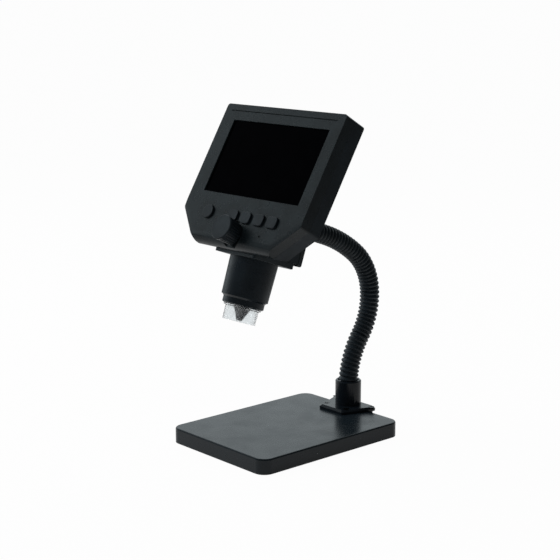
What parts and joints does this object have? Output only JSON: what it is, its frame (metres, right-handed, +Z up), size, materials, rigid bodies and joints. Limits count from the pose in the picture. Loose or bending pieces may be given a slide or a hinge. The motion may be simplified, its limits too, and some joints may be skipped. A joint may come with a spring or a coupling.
{
  "type": "lcd digital microscope",
  "caption": "Desk microscope: a screen head with a downward lens barrel standing in a ring holder on a flexible ribbed arm, screwed to a flat weighted base.",
  "frame": {"origin": "centre of the underside of the rubber pad under the base, on the table", "axes": "+Z up, the screen faces -Y, +X is to the right as the user sees the screen"},
  "size_m": [0.1197, 0.1522, 0.2308],
  "materials": {
    "base_plastic": "satin moulded",
    "black_plastic": "fine texture",
    "casing": "satin moulded",
    "sleeve": "ribbed satin",
    "steel": "plain",
    "dark_steel": "black oxide",
    "pad_rubber": "matte",
    "screen": "polished",
    "board": "solder mask",
    "foil": "pouch",
    "clear": "moulded clear plastic",
    "lens": "coated",
    "chip": "package",
    "film": "polyimide film",
    "led": "phosphor"
  },
  "bodies": {
    "base": {"base_shell": "base_plastic", "base_weight": "steel", "base_cover": "black_plastic", "base_pad": "pad_rubber", "base_screws": "steel", "neck_socket": "black_plastic", "flange_screws": "dark_steel", "socket_grub_screw": "dark_steel", "neck_bottom_ferrule": "steel", "neck_sleeve_1": "sleeve"},
    "arm_link_1": {"neck_link_1": "steel", "neck_sleeve_2": "sleeve"},
    "arm_link_2": {"neck_link_2": "steel", "neck_sleeve_3": "sleeve"},
    "arm_link_3": {"neck_link_3": "steel", "neck_sleeve_4": "sleeve"},
    "arm_link_4": {"neck_link_4": "steel", "neck_sleeve_5": "sleeve"},
    "holder": {"neck_top_ferrule": "black_plastic", "holder": "black_plastic", "holder_screw": "steel"},
    "head": {"front_shell": "casing", "rear_shell": "casing", "shell_screws": "steel", "screen_glass": "screen", "lcd_panel": "foil", "main_board": "board", "board_screws": "steel", "tact_switches": "chip", "battery": "foil", "usb_port": "steel", "card_slot": "steel", "light_pipes": "clear", "dimmer_pot": "steel", "lens_barrel": "black_plastic", "barrel_screws": "steel", "image_sensor": "chip", "sensor_board": "board", "sensor_screws": "steel", "sensor_ribbon": "film", "tip_ring": "black_plastic", "led_board": "film", "leds": "led", "light_baffle": "black_plastic", "clear_tip": "clear"},
    "power_button": {"power_button": "casing"},
    "menu_key": {"menu_key": "casing"},
    "up_key": {"up_key": "casing"},
    "down_key": {"down_key": "casing"},
    "ok_key": {"ok_key": "casing"},
    "dimmer_wheel": {"dimmer_wheel": "black_plastic"},
    "focus_knob": {"focus_knob": "casing", "focus_shaft": "steel", "focus_roller": "pad_rubber", "shaft_clip": "steel"},
    "lens_carriage": {"lens_carriage": "black_plastic", "objective_lens": "lens"}
  },
  "joints": [
    {"name": "arm_bend_1", "type": "hinge", "parent": "base", "child": "arm_link_1", "pos_m": [0, 0.0639, 0.04774], "axis": [1, 0, 0], "range_deg": [-12, 8], "deforming": ["neck_sleeve_1"]},
    {"name": "arm_swing_1", "type": "hinge", "parent": "arm_link_1", "child": "arm_link_2", "pos_m": [0, 0.07931, 0.07824], "axis": [0, 0.9622, -0.2723], "range_deg": [-15, 15], "deforming": ["neck_sleeve_2"]},
    {"name": "arm_bend_2", "type": "hinge", "parent": "arm_link_2", "child": "arm_link_3", "pos_m": [0, 0.07631, 0.1116], "axis": [1, 0, 0], "range_deg": [-20, 8], "deforming": ["neck_sleeve_3"]},
    {"name": "arm_bend_3", "type": "hinge", "parent": "arm_link_3", "child": "arm_link_4", "pos_m": [0, 0.05112, 0.13417], "axis": [1, 0, 0], "range_deg": [-15, 10], "deforming": ["neck_sleeve_4"]},
    {"name": "arm_turn", "type": "hinge", "parent": "arm_link_4", "child": "holder", "pos_m": [0, 0.02371, 0.14532], "axis": [0, 0.3322, 0.9432], "range_deg": [-25, 25], "deforming": ["neck_sleeve_5"]},
    {"name": "head_lift", "type": "slide", "parent": "holder", "child": "head", "axis": [0, 0.3322, 0.9432], "range_m": [0, 0.06]},
    {"name": "power_button_press", "type": "slide", "parent": "head", "child": "power_button", "axis": [0, 0.859, -0.512], "range_m": [0, 0.0008], "stiffness_N_per_m": 400},
    {"name": "menu_key_press", "type": "slide", "parent": "head", "child": "menu_key", "axis": [0, 0.859, -0.512], "range_m": [0, 0.0008], "stiffness_N_per_m": 400},
    {"name": "up_key_press", "type": "slide", "parent": "head", "child": "up_key", "axis": [0, 0.859, -0.512], "range_m": [0, 0.0008], "stiffness_N_per_m": 400},
    {"name": "down_key_press", "type": "slide", "parent": "head", "child": "down_key", "axis": [0, 0.859, -0.512], "range_m": [0, 0.0008], "stiffness_N_per_m": 400},
    {"name": "ok_key_press", "type": "slide", "parent": "head", "child": "ok_key", "axis": [0, 0.859, -0.512], "range_m": [0, 0.0008], "stiffness_N_per_m": 400},
    {"name": "dimmer_turn", "type": "hinge", "parent": "head", "child": "dimmer_wheel", "pos_m": [-0.0536, -0.02071, 0.1864], "axis": [0, 0.859, -0.512], "range_deg": [-135, 135]},
    {"name": "focus_turn", "type": "hinge", "parent": "head", "child": "focus_knob", "pos_m": [0, -0.04798, 0.15178], "axis": [0, -0.859, 0.512], "range_deg": [-120, 120]},
    {"name": "carriage_slide", "type": "slide", "parent": "head", "child": "lens_carriage", "axis": [0, 0.3322, 0.9432], "range_m": [-0.0047, 0.0047]}
  ],
  "couplings": [
    {"joint": "focus_turn", "follows": "carriage_slide", "rad_per_m": 445.57}
  ]
}
